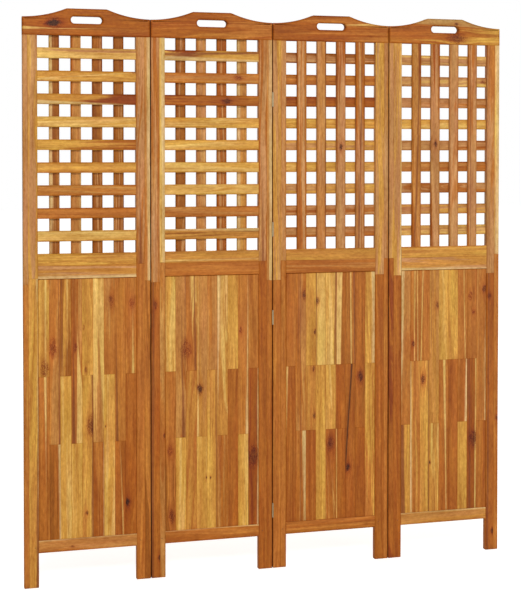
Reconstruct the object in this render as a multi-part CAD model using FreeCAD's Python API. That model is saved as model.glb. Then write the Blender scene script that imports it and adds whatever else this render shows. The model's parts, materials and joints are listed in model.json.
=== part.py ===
import FreeCAD, Part
import os

# Folding room screen of oiled acacia: four framed panels joined by three lines of butt hinges.
# Each panel has a lattice of flat slats over a lower board that is glued up from upright staves.
# X runs along the row of panels, Y from the front face to the back, and Z up from the floor.
# The origin is on the floor at the middle of the row, and all lengths are in millimetres.

# Row of panels
panel_count = 4
panel_width = 400.0
panel_gap = 3.0
stock_thickness = 20.0
stock_edge_radius = 1.5

# Heights in a panel, stacked from the floor up
foot_height = 107.5
bottom_rail_width = 38.5
board_opening_height = 815.0
middle_rail_width = 78.0
lattice_hole_height = 38.0
top_rail_end_width = 56.0

# Crest of the top rail: a flat middle with a hollow shoulder down to each end
crest_rise = 28.0
crest_flat_width = 124.0
shoulder_hollow = 6.8

# Handle slot through the top rail, with round ends
slot_length = 100.0
slot_height = 22.6
slot_height_above_rail_base = 37.7

# Stiles
stile_width = 45.0

# Lattice slats, in two layers that lie against each other at the middle of the thickness
cross_slat_count = 9
cross_slat_width = 33.0
upright_slat_count = 4
upright_slat_width = 32.0
upright_slat_pitch = 67.6
slat_thickness = 9.0
slat_edge_radius = 0.8
tongue_thickness = 5.0
tongue_length = 8.0
cross_slats_in_front = (True, True, False, False)

# Lower board of upright staves, butt-jointed at two heights
board_thickness = 12.0
groove_depth = 8.0
upper_joint_share = 0.626
lower_joint_share = 0.365

# The joints of each column of staves, one word a panel: u has the upper one, l the lower one, b both
stave_joints = ("ululululu", "ululululu", "ulbubbulu", "luuluubul")

# Tenons of the middle and bottom rails
tenon_thickness = 8.0
tenon_length = 22.0
tenon_shoulder = 5.0

# Pins through the tenons of the bottom rail
pin_radius = 1.1
pin_length = 15.0
pin_from_shoulder = 12.0
pin_recess = 0.4

# Dowels between the stiles and the top rail
dowel_radius = 4.0
dowel_length = 40.0
dowel_spacing = 22.0

# Hinges, four to a line: the middle of each one, from the floor or from the edge of a rail
hinge_above_floor = 190.0
hinge_below_middle_rail = 142.0
hinge_above_middle_rail = 66.0
hinge_below_top_rail = 191.0
hinge_length = 45.0
hinge_knuckles = 5
hinge_leaf_thickness = 1.2
hinge_leaf_reach = 18.5
barrel_radius = 2.5
barrel_stand_off = 2.8
hinge_pin_radius = 1.25
pin_head_radius = 2.0
pin_head_thickness = 0.8
screws_per_leaf = 2
screw_spacing = 26.0
screw_radius = 1.5
screw_length = 16.0
screw_tip_length = 4.0
screw_head_radius = 2.6
screw_head_thickness = 1.0

# The side of the panels that each hinge line's barrels are on: 1 is the back, -1 the front
barrel_sides = (1, -1, 1)

# Clearances
tongue_clearance = 0.1
tenon_clearance = 0.1
tenon_end_clearance = 1.0
dowel_clearance = 0.08
dowel_end_clearance = 1.0
groove_clearance = 0.15
groove_end_clearance = 0.5
pin_clearance = 0.08
hinge_pin_clearance = 0.05
knuckle_end_clearance = 0.3
knuckle_side_clearance = 0.35
screw_clearance = 0.1
overrun = 5.0

# Two directions count as parallel when the sine of the angle between them is below this share
parallel_share = 0.01

# Worked out from the sizes above
half_thickness = stock_thickness / 2
opening_width = panel_width - 2 * stile_width
row_width = panel_count * panel_width + (panel_count - 1) * panel_gap
bottom_rail_top = foot_height + bottom_rail_width
middle_rail_base = bottom_rail_top + board_opening_height
middle_rail_top = middle_rail_base + middle_rail_width
lattice_height = cross_slat_count * cross_slat_width + (cross_slat_count + 1) * lattice_hole_height
top_rail_base = middle_rail_top + lattice_height
end_height = top_rail_base + top_rail_end_width
crest_height = end_height + crest_rise
barrel_offset = half_thickness + barrel_stand_off
upper_joint_height = bottom_rail_top + upper_joint_share * board_opening_height
lower_joint_height = bottom_rail_top + lower_joint_share * board_opening_height
hinge_heights = (
    hinge_above_floor,
    middle_rail_base - hinge_below_middle_rail,
    middle_rail_top + hinge_above_middle_rail,
    top_rail_base - hinge_below_top_rail,
)
along_x = FreeCAD.Vector(1, 0, 0)
along_y = FreeCAD.Vector(0, 1, 0)
along_z = FreeCAD.Vector(0, 0, 1)


def point(x, y, z):
    """A place in the screen's frame."""
    return FreeCAD.Vector(x, y, z)


def block(x_ends, y_ends, z_ends):
    """A square block between two ends along each axis, given in any order."""
    ends = [sorted(pair) for pair in (x_ends, y_ends, z_ends)]
    corner = point(*[pair[0] for pair in ends])
    sides = [pair[1] - pair[0] for pair in ends]
    return Part.makeBox(*sides, corner)


def eased(stick, direction, radius):
    """Rounds the edges of a square stick that run along its length."""
    lengthwise = [edge for edge in stick.Edges
                  if edge.Curve.Direction.cross(direction).Length < parallel_share]
    return stick.makeFillet(radius, lengthwise)


def around(y_middle, thickness):
    """The two faces of a layer, from its middle and its thickness."""
    return (y_middle - thickness / 2, y_middle + thickness / 2)


def cylinder_along(direction, radius, length, start):
    """A round bar from a start point along a direction."""
    return Part.makeCylinder(radius, length, start, direction)


def layer_middle(in_front):
    """Where the middle of a slat layer lies: half a slat before or behind the panel's middle."""
    return -slat_thickness / 2 if in_front else slat_thickness / 2


def cross_slat_bases():
    """The height of each cross slat's lower edge."""
    pitch = cross_slat_width + lattice_hole_height
    first = middle_rail_top + lattice_hole_height
    return [first + index * pitch for index in range(cross_slat_count)]


def upright_slat_lefts():
    """Where each upright slat's left edge is in its panel: the row of slats is centred."""
    first = panel_width / 2 - upright_slat_width / 2 - (upright_slat_count - 1) * upright_slat_pitch / 2
    return [first + index * upright_slat_pitch for index in range(upright_slat_count)]


def rail_tenon_heights():
    """The lower and upper edge of the tenon of each rail: bottom rail, then middle rail."""
    bottom = (foot_height + tenon_shoulder, bottom_rail_top - groove_depth)
    middle = (middle_rail_base + groove_depth, middle_rail_top - tenon_shoulder)
    return (bottom, middle)


def screw_places(hinge_height):
    """The screws of one leaf: the distance of each from the barrel's axis, and its height."""
    flat_reach = hinge_leaf_reach - barrel_radius - knuckle_side_clearance
    from_axis = hinge_leaf_reach - flat_reach / 2
    first = hinge_height - (screws_per_leaf - 1) * screw_spacing / 2
    return [(from_axis, first + index * screw_spacing) for index in range(screws_per_leaf)]


def line_screw_places():
    """The screws of one side of a whole hinge line, given as those of one leaf are."""
    return [place for hinge_height in hinge_heights for place in screw_places(hinge_height)]


def stile(is_left, cross_in_front, barrel_side):
    """A stile with its groove, mortises, dowel holes and, where it is hinged, screw holes."""
    outer = 0 if is_left else panel_width
    inward = 1 if is_left else -1
    inner = outer + inward * stile_width
    stick = block((outer, inner), (-half_thickness, half_thickness), (0, top_rail_base))
    stick = eased(stick, along_z, stock_edge_radius)

    cuts = []
    mouth = inner + inward * overrun
    groove_heights = (bottom_rail_top - groove_depth, middle_rail_base + groove_depth)
    groove_faces = around(0, board_thickness + 2 * groove_clearance)
    cuts.append(block((mouth, inner - inward * groove_depth), groove_faces, groove_heights))

    tenon_faces = around(0, tenon_thickness + 2 * tenon_clearance)
    tenon_floor = inner - inward * (tenon_length + tenon_end_clearance)
    for base, top in rail_tenon_heights():
        heights = (base - tenon_clearance, top + tenon_clearance)
        cuts.append(block((mouth, tenon_floor), tenon_faces, heights))

    tongue_faces = around(layer_middle(cross_in_front), tongue_thickness + 2 * tongue_clearance)
    tongue_floor = inner - inward * (tongue_length + tongue_clearance)
    for base in cross_slat_bases():
        heights = (base - tongue_clearance, base + cross_slat_width + tongue_clearance)
        cuts.append(block((mouth, tongue_floor), tongue_faces, heights))

    hole_depth = dowel_length / 2 + dowel_end_clearance
    for x in dowel_places(is_left):
        start = point(x, 0, top_rail_base - hole_depth)
        cuts.append(cylinder_along(along_z, dowel_radius + dowel_clearance, hole_depth + overrun, start))

    pin_hole = tenon_pin(is_left, pin_radius + pin_clearance, overrun)
    cuts.append(pin_hole)

    if barrel_side:
        for from_axis, height in line_screw_places():
            y = barrel_side * (barrel_offset - from_axis)
            start = point(outer - inward * overrun, y, height)
            depth = screw_length + screw_clearance + overrun
            cuts.append(cylinder_along(along_x * inward, screw_radius + screw_clearance, depth, start))
    return stick.cut(cuts)


def dowel_places(is_left):
    """The two dowels over one stile, as distances across the panel."""
    middle = stile_width / 2 if is_left else panel_width - stile_width / 2
    return (middle - dowel_spacing / 2, middle + dowel_spacing / 2)


def tenon_pin(is_left, radius, overlength):
    """The pin from the front of a stile through the tenon of the bottom rail."""
    shoulder = stile_width if is_left else panel_width - stile_width
    outward = -1 if is_left else 1
    base, top = rail_tenon_heights()[0]
    x = shoulder + outward * pin_from_shoulder
    start = point(x, pin_recess - half_thickness - overlength, (base + top) / 2)
    return cylinder_along(along_y, radius, pin_length + overlength, start)


def rail_with_tenons(base, top, tenon_heights):
    """A rail between the stiles, with a tenon at each end."""
    left = stile_width
    right = panel_width - stile_width
    stick = block((left, right), (-half_thickness, half_thickness), (base, top))
    stick = eased(stick, along_x, stock_edge_radius)
    tenon_ends = (left - tenon_length, right + tenon_length)
    tenon = block(tenon_ends, around(0, tenon_thickness), tenon_heights)
    return stick.fuse(tenon).removeSplitter()


def rail_groove(edge, into):
    """The groove for the lower board along one edge of a rail."""
    ends = (stile_width - tenon_length - overrun, panel_width - stile_width + tenon_length + overrun)
    faces = around(0, board_thickness + 2 * groove_clearance)
    return block(ends, faces, (edge - into * overrun, edge + into * groove_depth))


def slat_mortises(edge, into, upright_in_front):
    """The mortises for the upright slats along one edge of a rail."""
    faces = around(layer_middle(upright_in_front), tongue_thickness + 2 * tongue_clearance)
    heights = (edge - into * overrun, edge + into * (tongue_length + tongue_clearance))
    mortises = []
    for left in upright_slat_lefts():
        ends = (left - tongue_clearance, left + upright_slat_width + tongue_clearance)
        mortises.append(block(ends, faces, heights))
    return mortises


def bottom_rail():
    """The rail under the board, with the holes for its two pins."""
    rail = rail_with_tenons(foot_height, bottom_rail_top, rail_tenon_heights()[0])
    cuts = [rail_groove(bottom_rail_top, -1)]
    for is_left in (True, False):
        cuts.append(tenon_pin(is_left, pin_radius + pin_clearance, overrun))
    return rail.cut(cuts)


def middle_rail(upright_in_front):
    """The rail between the lattice and the board."""
    rail = rail_with_tenons(middle_rail_base, middle_rail_top, rail_tenon_heights()[1])
    cuts = [rail_groove(middle_rail_base, 1)]
    cuts += slat_mortises(middle_rail_top, -1, upright_in_front)
    return rail.cut(cuts)


def top_rail_outline():
    """The front face of the top rail: square ends, hollow shoulders and a flat crest."""
    middle = panel_width / 2
    flat_left = middle - crest_flat_width / 2
    flat_right = middle + crest_flat_width / 2
    low_left = point(0, -half_thickness, end_height)
    low_right = point(panel_width, -half_thickness, end_height)
    high_left = point(flat_left, -half_thickness, crest_height)
    high_right = point(flat_right, -half_thickness, crest_height)
    base_left = point(0, -half_thickness, top_rail_base)
    base_right = point(panel_width, -half_thickness, top_rail_base)
    hollow = along_z * shoulder_hollow
    left_middle = (low_left + high_left) * 0.5 - hollow
    right_middle = (low_right + high_right) * 0.5 - hollow
    edges = [
        Part.LineSegment(base_left, low_left),
        Part.Arc(low_left, left_middle, high_left),
        Part.LineSegment(high_left, high_right),
        Part.Arc(high_right, right_middle, low_right),
        Part.LineSegment(low_right, base_right),
        Part.LineSegment(base_right, base_left),
    ]
    return Part.Wire([edge.toShape() for edge in edges])


def slot_cutter():
    """The handle slot: a slab with round ends that passes through both faces."""
    radius = slot_height / 2
    reach = slot_length / 2 - radius
    height = top_rail_base + slot_height_above_rail_base + radius
    middle = panel_width / 2
    start_y = -half_thickness - overrun
    depth = stock_thickness + 2 * overrun
    faces = (start_y, start_y + depth)
    slab = block((middle - reach, middle + reach), faces, (height - radius, height + radius))
    ends = [cylinder_along(along_y, radius, depth, point(middle + side * reach, start_y, height))
            for side in (-1, 1)]
    return slab.fuse(ends).removeSplitter()


def is_rim(edge):
    """Tells an edge of the slot or of the curved top, on the front or the back of the rail."""
    box = edge.BoundBox
    on_a_face = box.YLength < stock_edge_radius
    above_base = box.ZMax > top_rail_base + stock_edge_radius
    on_square_end = box.XLength < stock_edge_radius
    return on_a_face and above_base and not on_square_end


def top_rail(upright_in_front):
    """The crested rail that lies on both stiles, with the handle slot."""
    rail = Part.Face(top_rail_outline()).extrude(along_y * stock_thickness)
    rail = rail.cut(slot_cutter())
    rail = rail.makeFillet(stock_edge_radius, [edge for edge in rail.Edges if is_rim(edge)])

    cuts = slat_mortises(top_rail_base, 1, upright_in_front)
    hole_depth = dowel_length / 2 + dowel_end_clearance
    for is_left in (True, False):
        for x in dowel_places(is_left):
            start = point(x, 0, top_rail_base - overrun)
            cuts.append(cylinder_along(along_z, dowel_radius + dowel_clearance, hole_depth + overrun, start))
    return rail.cut(cuts)


def dowels():
    """The four dowels that join the top rail to the stiles."""
    base = top_rail_base - dowel_length / 2
    places = dowel_places(True) + dowel_places(False)
    return [cylinder_along(along_z, dowel_radius, dowel_length, point(x, 0, base)) for x in places]


def cross_slats(in_front):
    """The level slats of the lattice, each with a tongue into both stiles."""
    y = layer_middle(in_front)
    left = stile_width
    right = panel_width - stile_width
    slats = []
    for base in cross_slat_bases():
        heights = (base, base + cross_slat_width)
        stick = block((left, right), around(y, slat_thickness), heights)
        stick = eased(stick, along_x, slat_edge_radius)
        tongue = block((left - tongue_length, right + tongue_length), around(y, tongue_thickness), heights)
        slats.append(stick.fuse(tongue).removeSplitter())
    return slats


def upright_slats(in_front):
    """The upright slats of the lattice, each with a tongue into the rails above and below."""
    y = layer_middle(in_front)
    slats = []
    for left in upright_slat_lefts():
        ends = (left, left + upright_slat_width)
        stick = block(ends, around(y, slat_thickness), (middle_rail_top, top_rail_base))
        stick = eased(stick, along_z, slat_edge_radius)
        tongue_heights = (middle_rail_top - tongue_length, top_rail_base + tongue_length)
        tongue = block(ends, around(y, tongue_thickness), tongue_heights)
        slats.append(stick.fuse(tongue).removeSplitter())
    return slats


def board_staves(joints):
    """The lower board: columns of staves side by side, each column jointed as its letter says."""
    tuck = groove_depth - groove_end_clearance
    pitch = opening_width / len(joints)
    edges = [stile_width + index * pitch for index in range(len(joints) + 1)]
    edges[0] -= tuck
    edges[-1] += tuck
    faces = around(0, board_thickness)
    staves = []
    for index, letter in enumerate(joints):
        heights = [bottom_rail_top - tuck, middle_rail_base + tuck]
        if letter in "lb":
            heights.append(lower_joint_height)
        if letter in "ub":
            heights.append(upper_joint_height)
        heights.sort()
        for low, high in zip(heights, heights[1:]):
            staves.append(block((edges[index], edges[index + 1]), faces, (low, high)))
    return staves


def hinge_leaves(side, barrel_side):
    """One leaf of each hinge in a line: side -1 is the left leaf and 1 the right, from the gap's middle."""
    seat = side * panel_gap / 2
    inner_face = seat - side * hinge_leaf_thickness
    axis_y = barrel_side * barrel_offset
    flat_end = axis_y - barrel_side * (barrel_radius + knuckle_side_clearance)
    far_end = axis_y - barrel_side * hinge_leaf_reach
    pitch = hinge_length / hinge_knuckles
    own = range(0, hinge_knuckles, 2) if side < 0 else range(1, hinge_knuckles, 2)
    leaves = []
    for centre in hinge_heights:
        low = centre - hinge_length / 2
        leaf = block((seat, inner_face), (far_end, flat_end), (low, low + hinge_length))
        knuckles = []
        for index in own:
            base = low + index * pitch + knuckle_end_clearance / 2
            length = pitch - knuckle_end_clearance
            barrel = cylinder_along(along_z, barrel_radius, length, point(0, axis_y, base))
            tab = block((seat, inner_face), (flat_end, axis_y), (base, base + length))
            knuckles += [barrel, tab]
        leaf = leaf.fuse(knuckles).removeSplitter()
        bore_radius = hinge_pin_radius + hinge_pin_clearance
        bore_start = point(0, axis_y, low - overrun)
        cuts = [cylinder_along(along_z, bore_radius, hinge_length + 2 * overrun, bore_start)]
        for from_axis, height in screw_places(centre):
            cuts.append(screw(side, barrel_side, from_axis, height, screw_clearance, overrun))
        leaves.append(leaf.cut(cuts))
    return leaves


def screw(side, barrel_side, from_axis, height, clearance, overlength):
    """A countersunk wood screw, or with a clearance the hole that it needs."""
    head_face = side * (panel_gap / 2 - hinge_leaf_thickness)
    y = barrel_side * (barrel_offset - from_axis)
    start = point(head_face, y, height)
    outward = along_x * side
    head_radius = screw_head_radius + clearance
    shank_radius = screw_radius + clearance
    head = Part.makeCone(head_radius, shank_radius, screw_head_thickness, start, outward)
    plain_length = hinge_leaf_thickness + screw_length - screw_tip_length
    shank = cylinder_along(outward, shank_radius, plain_length, start)
    tip_start = start + outward * plain_length
    tip = Part.makeCone(shank_radius, clearance, screw_tip_length, tip_start, outward)
    pieces = [shank, tip]
    if overlength:
        pieces.append(cylinder_along(outward * -1, head_radius, overlength, start))
    return head.fuse(pieces).removeSplitter()


def hinge_screws(side, barrel_side):
    """All the screws of one side of a hinge line."""
    return [screw(side, barrel_side, from_axis, height, 0, 0)
            for from_axis, height in line_screw_places()]


def hinge_pins(barrel_side):
    """The pin of each hinge in a line, with a flat head at both ends."""
    axis_y = barrel_side * barrel_offset
    pins = []
    for centre in hinge_heights:
        low = centre - hinge_length / 2
        shank = cylinder_along(along_z, hinge_pin_radius, hinge_length, point(0, axis_y, low))
        heads = [cylinder_along(along_z, pin_head_radius, pin_head_thickness, point(0, axis_y, base))
                 for base in (low - pin_head_thickness, low + hinge_length)]
        pins.append(shank.fuse(heads).removeSplitter())
    return pins


def write(name, solids, x):
    """Moves the solids of one node to their place along the row and writes them as one file."""
    placed = [solid.translated(point(x, 0, 0)) for solid in solids]
    shape = placed[0] if len(placed) == 1 else Part.makeCompound(placed)
    shape.exportStep("parts/" + name + ".step")
    volume = sum(solid.Volume for solid in placed)
    print(name, len(placed), "solids, volume", round(volume), "valid", shape.isValid())


def write_panel(index):
    """Writes every node of one panel."""
    prefix = "panel_" + str(index + 1) + "_"
    x = index * (panel_width + panel_gap) - row_width / 2
    cross_in_front = cross_slats_in_front[index]
    left_barrels = barrel_sides[index - 1] if index > 0 else 0
    right_barrels = barrel_sides[index] if index < panel_count - 1 else 0
    write(prefix + "left_stile", [stile(True, cross_in_front, left_barrels)], x)
    write(prefix + "right_stile", [stile(False, cross_in_front, right_barrels)], x)
    write(prefix + "top_rail", [top_rail(not cross_in_front)], x)
    write(prefix + "middle_rail", [middle_rail(not cross_in_front)], x)
    write(prefix + "bottom_rail", [bottom_rail()], x)
    write(prefix + "board_staves", board_staves(stave_joints[index]), x)
    write(prefix + "cross_slats", cross_slats(cross_in_front), x)
    write(prefix + "upright_slats", upright_slats(not cross_in_front), x)
    write(prefix + "dowels", dowels(), x)
    write(prefix + "tenon_pins", [tenon_pin(is_left, pin_radius, 0) for is_left in (True, False)], x)


def write_hinge_line(index):
    """Writes every node of one line of hinges."""
    prefix = "hinge_line_" + str(index + 1) + "_"
    barrel_side = barrel_sides[index]
    x = (index + 1) * (panel_width + panel_gap) - panel_gap / 2 - row_width / 2
    for side, word in ((-1, "left"), (1, "right")):
        write(prefix + word + "_leaves", hinge_leaves(side, barrel_side), x)
        write(prefix + word + "_screws", hinge_screws(side, barrel_side), x)
    write(prefix + "pins", hinge_pins(barrel_side), x)


os.makedirs("parts", exist_ok=True)
for panel_index in range(panel_count):
    write_panel(panel_index)
for line_index in range(panel_count - 1):
    write_hinge_line(line_index)
print("row width", row_width, "crest height", crest_height)
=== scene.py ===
# %% [markdown]
# A folding room screen of oiled acacia: four framed panels, an open lattice over a closed board in each,
# and three lines of butt hinges between them. Solid acacia is loved for its contrast: straw-coloured
# sapwood beside orange and russet heartwood. So this lesson spends its effort on one thing, boards that
# each have their own tone, streaks, knots and sap edge, cut to real sizes and set side by side as a joiner
# glues them up.

# %% Load the frame
import bpy
import functools
import json
import math
import numpy as np
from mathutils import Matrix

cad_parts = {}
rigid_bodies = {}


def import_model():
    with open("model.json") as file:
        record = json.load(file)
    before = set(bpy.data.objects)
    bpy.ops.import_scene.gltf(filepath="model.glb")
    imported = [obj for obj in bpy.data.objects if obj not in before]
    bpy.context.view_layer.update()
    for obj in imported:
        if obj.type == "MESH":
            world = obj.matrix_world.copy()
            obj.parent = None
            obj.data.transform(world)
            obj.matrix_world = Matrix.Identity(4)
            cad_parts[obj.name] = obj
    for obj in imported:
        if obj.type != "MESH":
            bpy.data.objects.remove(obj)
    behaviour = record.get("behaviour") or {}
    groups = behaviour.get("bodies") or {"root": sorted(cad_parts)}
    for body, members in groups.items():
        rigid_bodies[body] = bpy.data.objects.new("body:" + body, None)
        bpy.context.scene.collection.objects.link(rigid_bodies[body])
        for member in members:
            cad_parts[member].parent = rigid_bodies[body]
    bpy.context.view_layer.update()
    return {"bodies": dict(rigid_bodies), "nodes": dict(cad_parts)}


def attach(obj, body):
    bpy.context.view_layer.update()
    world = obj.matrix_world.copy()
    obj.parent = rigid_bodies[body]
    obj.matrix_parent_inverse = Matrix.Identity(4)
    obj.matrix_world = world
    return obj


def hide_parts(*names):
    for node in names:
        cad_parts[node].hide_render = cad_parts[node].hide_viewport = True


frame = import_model()

# %% [markdown]
# The sizes below are the joiner's cutting list in millimetres, panel by panel from the left. Writing them
# once and working in millimetres keeps every number readable; metres appear only when a mesh is made.

# %% Cutting list
panel_width, panel_gap, row_width = 400.0, 3.0, 1609.0
thickness = 20.0
stile_width = 45.0
rail_base, rail_top = 107.5, 146.0
middle_base, middle_split, middle_top = 961.0, 1003.0, 1039.0
crown_base, crown_end, crown_crest = 1716.0, 1772.0, 1800.0
hole_height, cross_width = 38.0, 33.0
upright_width, upright_pitch = 32.0, 67.6
slat_thickness, stave_thickness = 9.0, 12.0
upper_joint, lower_joint = 656.19, 443.475
pin_aside, pin_height = 33.0, 125.25
front_back = (-thickness / 2, thickness / 2)
cross_in_front = (True, True, False, False)
stave_joints = ("ululululu", "ululululu", "ulbubbulu", "luuluubul")
panel_left = [index * (panel_width + panel_gap) - row_width / 2 for index in range(4)]
last_panel = len(panel_left) - 1
print("panels start at", panel_left)

# %% [markdown]
# Acacia's colours run from straw sapwood through honey and amber to russet heart. A maker sorts boards by
# eye into a few such groups, and a short list of named tones does the same here. Blender mixes light in
# linear values, so one function turns the familiar hex colours into them.

# %% Tones of the wood
def linear(hex_colour):
    """A hex colour as linear red, green and blue with a full alpha. A part c of it is c / 12.92 up to
    0.04045, and ((c + 0.055) / 1.055) ^ 2.4 above that."""
    values = np.array([int(hex_colour[k:k + 2], 16) / 255 for k in (1, 3, 5)])
    low = values / 12.92
    high = ((values + 0.055) / 1.055) ** 2.4
    return (*np.where(values <= 0.04045, low, high).tolist(), 1.0)


tones = {
    "straw": linear("#DCAA58"),
    "honey": linear("#D0953D"),
    "amber": linear("#C48333"),
    "tan": linear("#BE7E3A"),
    "fawn": linear("#BE834C"),
    "orange": linear("#B96F28"),
    "copper": linear("#AD611C"),
    "russet": linear("#A25512"),
    "brown": linear("#965313"),
    "red": linear("#8F4110"),
}
print(len(tones), "tones")

# %% [markdown]
# Each board gets a look: a main tone, a second one in streaks, how much of the board the streaks take, and
# where its sap edge, single lines and knots are. These are notes as a joiner would chalk them on the board,
# so they are kept as words and rounded millimetres, and the pattern itself is worked out later from growth
# rings.

# %% How one board looks
def look(main, second, share=0.35, drift=0.0, sap=(0, 0), lines=(), knots=()):
    """Notes on one board. share is the part in the second tone, and drift how much more of it there is at
    the top or right end. sap is the width of pale sapwood at the low and the high end, negative on the left
    or lower edge. A line is (place across at the low end, at the high end, half width at the low end, at
    the high end, tone). A half width below zero lets it run out. The tone runs from 0 dark to 1 pale, and
    -1 is an open split. A knot is (place across from 0 to 1, height or distance from the panel's left,
    radius, darkness), where the darkness runs from 0, curly grain without a core, to 1, a black core, and
    is a half where none is given."""
    return dict(main=main, second=second, share=share, drift=drift, sap=sap, lines=lines, knots=knots)


# %% [markdown]
# The lower boards come first, because they carry most of the colour. Every column of staves is written from
# the top down: one stave more than it has joints.

# %% Looks of the staves
stave_looks = (
    (
        (look("honey", "orange", .4, .3, lines=((.66, .66, 3, 2, 1),), knots=((.6, 680, 11, .1),)),
         look("orange", "copper", .5, -.6, lines=((.75, .68, -3, 4, 1),))),
        (look("tan", "orange", .4, .1, lines=((.93, .88, 3, 1, 0),), knots=((.33, 746, 12, .2),)),
         look("copper", "brown", .5, -.2, sap=(3, 8))),
        (look("amber", "brown", .35, .1, lines=((.68, .62, -1, 3, .85), (.2, .2, 2, 1, 0))),
         look("honey", "straw", .4)),
        (look("copper", "tan", .35, .3, lines=((.95, .35, 17, -8, 1), (.2, .2, 6, -2, 0)),
              knots=((.37, 746, 6, .1),)),
         look("honey", "straw", .3, -.1)),
        (look("honey", "amber", .4, .1, knots=((.15, 806, 3, .2), (.35, 676, 4, .3))),
         look("honey", "amber", .35, -.2, lines=((.9, .97, 4, 5, 0),),
              knots=((.85, 497, 13, .35), (.36, 221, 3.5, .6)))),
        (look("tan", "straw", .62, 1.1),
         look("russet", "orange", .4, .1, sap=(4, 3))),
        (look("orange", "tan", .5, .2, knots=((.67, 891, 8, .2),)),
         look("honey", "straw", .45, knots=((.18, 494, 2, .9),))),
        (look("orange", "copper", .15, .3, lines=((.15, .15, 5, -2, 0),)),
         look("russet", "copper", .45, .3, lines=((.72, .5, 2.5, -1, 1),))),
        (look("orange", "copper", .3, .1, lines=((.7, .7, 3, -2, 1),), knots=((.6, 881, 7, 0),)),
         look("copper", "russet", .45, -.2, knots=((.16, 251, 8, 1),))),
    ),
    (
        (look("straw", "honey", .5, .2, sap=(-2, -2)),
         look("orange", "brown", .3, -.6, knots=((.62, 190, 9, .2), (.5, 401, 7, 0)))),
        (look("tan", "copper", .25, .0, lines=((.75, .5, 5, -1, 0), (.9, .9, -1, 2, 0)),
              knots=((.98, 726, 13, 0),)),
         look("honey", "straw", .2)),
        (look("orange", "straw", .4, .2, lines=((.88, .8, 4, 2, 0),), knots=((.08, 726, 11, 0),)),
         look("amber", "orange", .5, .1)),
        (look("amber", "tan", .45, .5, lines=((.1, .2, 3, -1, 1),), knots=((.3, 599, 8, .7),)),
         look("honey", "straw", .45, knots=((.93, 311, 2.4, .9),))),
        (look("tan", "orange", .4, .3),
         look("honey", "amber", .35, .7, lines=((.9, .9, 2, 2, 0),), knots=((.34, 311, 2.4, .9),))),
        (look("amber", "straw", .4, .5, sap=(0, -12)),
         look("copper", "tan", .4, .1)),
        (look("honey", "amber", .35, -.4),
         look("copper", "russet", .4, .1)),
        (look("orange", "copper", .2, .1, sap=(7, 1), knots=((.3, 778, 4, .2),)),
         look("honey", "straw", .4)),
        (look("orange", "copper", .45, .3),
         look("russet", "red", .45, -.2, sap=(4, 2), knots=((.5, 371, 17, .45),))),
    ),
    (
        (look("copper", "orange", .45, -.4),
         look("copper", "russet", .5, -.4, lines=((.1, .08, -9, 6, 1),))),
        (look("tan", "copper", .4, .0, lines=((.5, .45, 1.5, 1.5, 0), (.25, .3, 1.2, 1, 0)),
              knots=((.84, 891, 7),)),
         look("tan", "copper", .5, -.2, sap=(7, 10), lines=((.5, .5, 2, 2, 0),))),
        (look("amber", "honey", .6, .1, knots=((.95, 766, 4),)),
         look("orange", "amber", .7, .2, knots=((.8, 646, 5), (.9, 493, 5))),
         look("russet", "copper", .45, .0)),
        (look("straw", "honey", .3, .1, lines=((.05, .05, 2, 2, 0),), knots=((.1, 867, 6),)),
         look("honey", "amber", .45, .2)),
        (look("straw", "honey", .25, .3, lines=((.97, .97, 2, 3, 0),)),
         look("honey", "straw", .35, .1),
         look("copper", "tan", .4, .0, knots=((.53, 396, 12, .4),))),
        (look("copper", "brown", .4, .1, lines=((.3, .4, 8, 9, 1), (.03, .06, 1.5, 1.5, 0))),
         look("copper", "russet", .4, .1),
         look("copper", "russet", .35, -.1, lines=((.12, .12, 1.2, 1, 1),))),
        (look("orange", "brown", .4, .1, lines=((.62, .5, 2, 2, 1), (.95, .85, 3, 4, 0))),
         look("russet", "copper", .4, .3, lines=((-.32, .62, 1.6, 2.8, -1),), knots=((.24, 311, 8, .9),))),
        (look("copper", "brown", .25, .0, knots=((.49, 611, 10, .6),)),
         look("russet", "copper", .4, -.2)),
        (look("honey", "amber", .4, .2, sap=(8, 14)),
         look("honey", "orange", .45, -.2)),
    ),
    (
        (look("orange", "tan", .6, .2, sap=(-1, -13)),
         look("honey", "amber", .5, .0, lines=((-.02, -.02, 17, 13, 0),))),
        (look("copper", "orange", .4, .1, lines=((.4, .45, 1.5, 1.5, 1), (.75, .7, 1.5, 1.5, 1)),
              knots=((.3, 711, 6),)),
         look("orange", "amber", .45, .2, sap=(-6, -1))),
        (look("orange", "copper", .4, .1, lines=((.1, .3, 2, 2, 1),)),
         look("honey", "amber", .4, -.1, lines=((.9, .9, 3, 2, 0),), knots=((.33, 596, 8, .5),))),
        (look("amber", "tan", .55, .3, knots=((.8, 841, 5),)),
         look("amber", "straw", .45, knots=((.05, 311, 3, .9),))),
        (look("honey", "straw", .1, .2),
         look("copper", "orange", .4, .5, lines=((.8, .6, 1, 4, 1),))),
        (look("honey", "amber", .35, .1),
         look("russet", "copper", .45, .1)),
        (look("orange", "tan", .4, .2, lines=((.75, .6, 1.5, 1.5, 1),)),
         look("copper", "orange", .45, .1, sap=(8, 5)),
         look("honey", "amber", .35)),
        (look("orange", "brown", .4, -.2, knots=((.3, 871, 6, 0), (.7, 815, 4, 0))),
         look("russet", "brown", .45, -.1, lines=((.3, .2, 3, 3, 0), (.9, .95, 2, 2, 1)),
              knots=((.7, 385, 15, .45),))),
        (look("orange", "tan", .35, .1, sap=(2, 0), knots=((.85, 891, 7),)),
         look("orange", "copper", .5, .1)),
    ),
)
print("staves", sum(len(column) for panel in stave_looks for column in panel))

# %% [markdown]
# The slats are chalked in the same way. Cross slats are written from the top down and upright ones from the
# left.

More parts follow.
